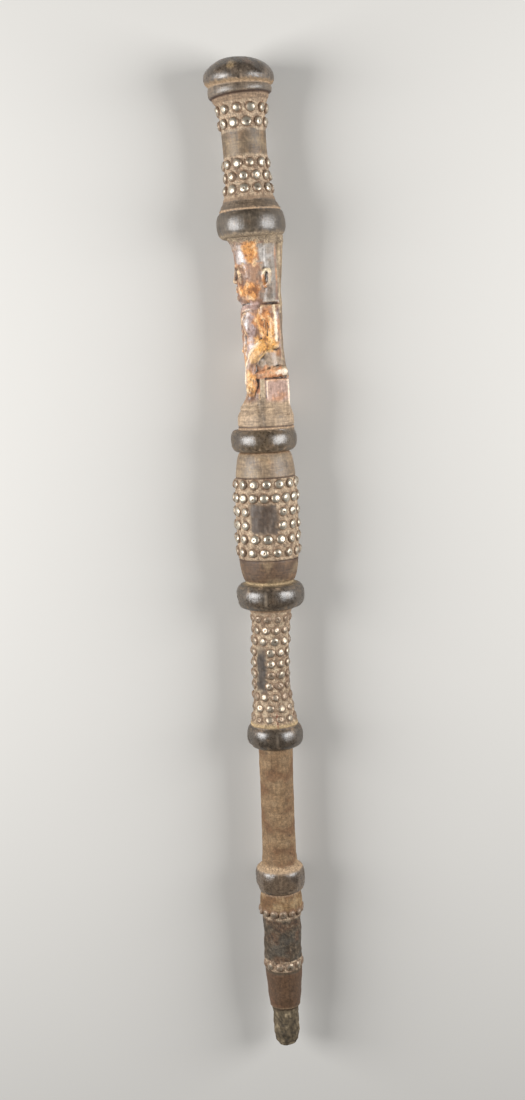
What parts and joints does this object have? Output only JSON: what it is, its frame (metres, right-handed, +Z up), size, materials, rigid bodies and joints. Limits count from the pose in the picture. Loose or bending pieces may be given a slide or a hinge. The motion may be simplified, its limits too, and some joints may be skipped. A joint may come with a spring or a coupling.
{
  "type": "carved scepter",
  "caption": "Long dark wooden staff with turned rings, a seated carved figure below its handle, a swelling barrel and a tapered foot, studded with rows of domed brass tacks.",
  "frame": {"origin": "on the surface that the staff lies on, below the middle of its box", "axes": "+X along the staff, from the knob to the tip; -Y where the figure looks; +Z up"},
  "size_m": [0.8, 0.0582, 0.0541],
  "materials": {
    "dark_wood": "satin",
    "aged_brass": "satin"
  },
  "bodies": {
    "root": {"wooden_staff": "dark_wood", "tack_row1_01": "aged_brass", "tack_row1_02": "aged_brass", "tack_row1_03": "aged_brass", "tack_row1_04": "aged_brass", "tack_row1_05": "aged_brass", "tack_row1_06": "aged_brass", "tack_row1_07": "aged_brass", "tack_row1_08": "aged_brass", "tack_row1_09": "aged_brass", "tack_row1_10": "aged_brass", "tack_row1_11": "aged_brass", "tack_row2_01": "aged_brass", "tack_row2_02": "aged_brass", "tack_row2_03": "aged_brass", "tack_row2_04": "aged_brass", "tack_row2_05": "aged_brass", "tack_row2_06": "aged_brass", "tack_row2_07": "aged_brass", "tack_row2_08": "aged_brass", "tack_row2_09": "aged_brass", "tack_row2_10": "aged_brass", "tack_row2_11": "aged_brass", "tack_row3_01": "aged_brass", "tack_row3_02": "aged_brass", "tack_row3_03": "aged_brass", "tack_row3_04": "aged_brass", "tack_row3_05": "aged_brass", "tack_row3_06": "aged_brass", "tack_row3_07": "aged_brass", "tack_row3_08": "aged_brass", "tack_row3_09": "aged_brass", "tack_row3_10": "aged_brass", "tack_row3_11": "aged_brass", "tack_row4_01": "aged_brass", "tack_row4_02": "aged_brass", "tack_row4_03": "aged_brass", "tack_row4_04": "aged_brass", "tack_row4_05": "aged_brass", "tack_row4_06": "aged_brass", "tack_row4_07": "aged_brass", "tack_row4_08": "aged_brass", "tack_row4_09": "aged_brass", "tack_row4_10": "aged_brass", "tack_row4_11": "aged_brass", "tack_row5_01": "aged_brass", "tack_row5_02": "aged_brass", "tack_row5_03": "aged_brass", "tack_row5_04": "aged_brass", "tack_row5_05": "aged_brass", "tack_row5_06": "aged_brass", "tack_row5_07": "aged_brass", "tack_row5_08": "aged_brass", "tack_row5_09": "aged_brass", "tack_row5_10": "aged_brass", "tack_row5_11": "aged_brass"}
  },
  "joints": []
}
